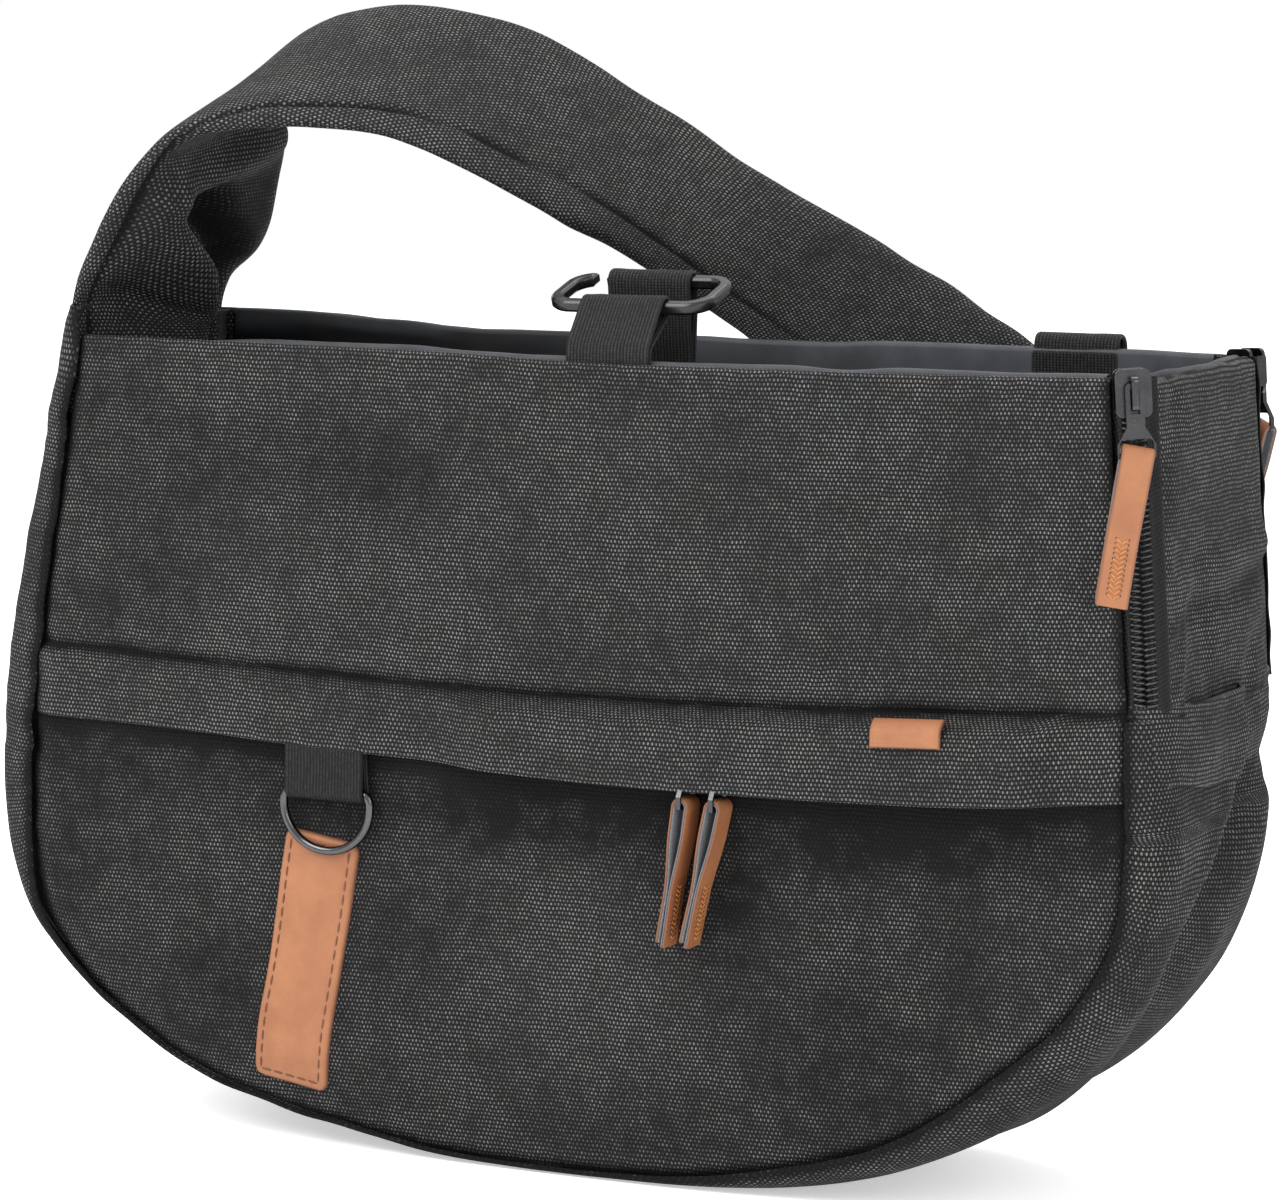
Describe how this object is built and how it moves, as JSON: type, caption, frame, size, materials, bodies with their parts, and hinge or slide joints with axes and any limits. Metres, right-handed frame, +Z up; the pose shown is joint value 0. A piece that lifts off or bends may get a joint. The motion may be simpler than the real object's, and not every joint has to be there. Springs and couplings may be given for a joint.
{
  "type": "sling carrier bag",
  "caption": "D-shaped canvas sling carrier with a padded shoulder strap, zipped drop-down side flap, zipped front pocket under a welt, D-ring and clip-in safety leash.",
  "frame": {"origin": "middle of the flat underside of the body", "axes": "+X towards the end with the zipped flap, +Y towards the wearer's side, +Z up"},
  "size_m": [0.3658, 0.1292, 0.3367],
  "materials": {
    "canvas": "washed cotton canvas, matte",
    "lining": "smooth nylon",
    "padding": "foam and wadding",
    "board": "matte",
    "leather": "smooth, slightly waxed",
    "zip_tape": "satin woven tape",
    "zip_coil": "nylon",
    "zip_metal": "black nickel",
    "ring_metal": "gunmetal",
    "hook_metal": "black, semi-gloss",
    "webbing": "woven webbing"
  },
  "bodies": {
    "bag_body": {"back_foam": "padding", "back_lining": "lining", "back_panel": "canvas", "base_board": "board", "base_pad": "padding", "d_ring_webbing": "webbing", "flap_end_band": "canvas", "front_foam": "padding", "front_lining": "lining", "front_upper_panel": "canvas", "gusset": "canvas", "gusset_lining": "lining", "leash_anchor": "webbing", "leash_keeper_loop": "webbing", "leather_label": "leather", "leather_patch": "leather", "pocket_inner_wall": "lining", "pocket_panel": "canvas", "pocket_zip_lower_coil": "zip_coil", "pocket_zip_lower_tape": "zip_tape", "pocket_zip_stops": "zip_metal", "pocket_zip_upper_coil": "zip_coil", "pocket_zip_upper_tape": "zip_tape", "safety_leash": "webbing", "side_zip_front_body_coil": "zip_coil", "side_zip_front_body_tape": "zip_tape", "side_zip_rear_body_coil": "zip_coil", "side_zip_rear_body_tape": "zip_tape", "strap_tail_inner_face": "canvas", "strap_tail_outer_face": "canvas", "strap_tail_padding": "padding", "welt": "canvas"},
    "shoulder_strap": {"strap_outer_face": "canvas", "strap_padding": "padding", "strap_inner_face": "canvas"},
    "side_flap": {"side_flap": "canvas", "side_flap_foam": "padding", "side_flap_lining": "lining", "side_zip_front_flap_tape": "zip_tape", "side_zip_front_flap_coil": "zip_coil", "side_zip_rear_flap_tape": "zip_tape", "side_zip_rear_flap_coil": "zip_coil"},
    "d_ring": {"d_ring": "ring_metal"},
    "leash_hook": {"leash_hook": "hook_metal"},
    "side_front_slider": {"side_front_slider": "zip_metal"},
    "side_front_pull": {"side_front_pull": "zip_metal"},
    "side_front_tab": {"side_front_tab": "leather"},
    "side_rear_slider": {"side_rear_slider": "zip_metal"},
    "side_rear_pull": {"side_rear_pull": "zip_metal"},
    "side_rear_tab": {"side_rear_tab": "leather"},
    "pocket_left_slider": {"pocket_left_slider": "zip_metal"},
    "pocket_left_pull": {"pocket_left_pull": "zip_metal"},
    "pocket_left_tab": {"pocket_left_tab": "leather"},
    "pocket_right_slider": {"pocket_right_slider": "zip_metal"},
    "pocket_right_pull": {"pocket_right_pull": "zip_metal"},
    "pocket_right_tab": {"pocket_right_tab": "leather"}
  },
  "joints": [
    {"name": "side_flap_fold", "type": "hinge", "parent": "bag_body", "child": "side_flap", "pos_m": [0.1846, 0, 0.1435], "axis": [0, 1, 0], "range_deg": [0, 110], "deforming": ["side_zip_front_flap_tape", "side_zip_front_flap_coil", "side_zip_rear_flap_tape", "side_zip_rear_flap_coil"]},
    {"name": "side_front_slider_slide", "type": "slide", "parent": "bag_body", "child": "side_front_slider", "axis": [-0.0594, 0, 0.9982], "range_m": [-0.0785, 0]},
    {"name": "side_front_pull_swing", "type": "hinge", "parent": "side_front_slider", "child": "side_front_pull", "pos_m": [0.17228, -0.04943, 0.23332], "axis": [-0.881, -0.4701, -0.0524], "range_deg": [0, 120]},
    {"name": "side_front_tab_swing", "type": "hinge", "parent": "side_front_pull", "child": "side_front_tab", "pos_m": [0.17338, -0.04943, 0.21485], "axis": [-0.881, -0.4701, -0.0524], "range_deg": [0, 60]},
    {"name": "side_rear_slider_slide", "type": "slide", "parent": "bag_body", "child": "side_rear_slider", "axis": [-0.0594, 0, 0.9982], "range_m": [-0.0785, 0]},
    {"name": "side_rear_pull_swing", "type": "hinge", "parent": "side_rear_slider", "child": "side_rear_pull", "pos_m": [0.17228, 0.04943, 0.23332], "axis": [0.881, -0.4701, 0.0524], "range_deg": [0, 120]},
    {"name": "side_rear_tab_swing", "type": "hinge", "parent": "side_rear_pull", "child": "side_rear_tab", "pos_m": [0.17338, 0.04943, 0.21485], "axis": [0.881, -0.4701, 0.0524], "range_deg": [0, 60]},
    {"name": "pocket_left_slider_slide", "type": "slide", "parent": "bag_body", "child": "pocket_left_slider", "axis": [1, 0, 0], "range_m": [-0.06, 0]},
    {"name": "pocket_left_pull_swing", "type": "hinge", "parent": "pocket_left_slider", "child": "pocket_left_pull", "pos_m": [0.0422, -0.05415, 0.128], "axis": [0, 1, 0], "range_deg": [0, 20]},
    {"name": "pocket_left_tab_swing", "type": "hinge", "parent": "pocket_left_pull", "child": "pocket_left_tab", "pos_m": [0.0422, -0.05415, 0.1116], "axis": [0, 1, 0], "range_deg": [0, 30]},
    {"name": "pocket_right_slider_slide", "type": "slide", "parent": "bag_body", "child": "pocket_right_slider", "axis": [1, 0, 0], "range_m": [0, 0.083]},
    {"name": "pocket_right_pull_swing", "type": "hinge", "parent": "pocket_right_slider", "child": "pocket_right_pull", "pos_m": [0.0522, -0.05415, 0.128], "axis": [0, 1, 0], "range_deg": [-20, 0]},
    {"name": "pocket_right_tab_swing", "type": "hinge", "parent": "pocket_right_pull", "child": "pocket_right_tab", "pos_m": [0.0522, -0.05415, 0.1116], "axis": [0, 1, 0], "range_deg": [-30, 0]},
    {"name": "d_ring_swing", "type": "hinge", "parent": "bag_body", "child": "d_ring", "pos_m": [-0.076, -0.0514, 0.1065], "axis": [-1, 0, 0], "range_deg": [0, 130]},
    {"name": "leash_hook_slide", "type": "slide", "parent": "bag_body", "child": "leash_hook", "axis": [1, 0, 0], "range_m": [-0.005, 0.005]},
    {"name": "shoulder_strap_lean", "type": "hinge", "parent": "bag_body", "child": "shoulder_strap", "pos_m": [-0.172, 0, 0.2366], "axis": [0.968, 0.251, 0], "range_deg": [-28, 28]}
  ],
  "couplings": [
    {"joint": "side_front_slider_slide", "follows": "side_flap_fold", "m_per_rad": -0.040628},
    {"joint": "side_rear_slider_slide", "follows": "side_flap_fold", "m_per_rad": -0.040628}
  ]
}
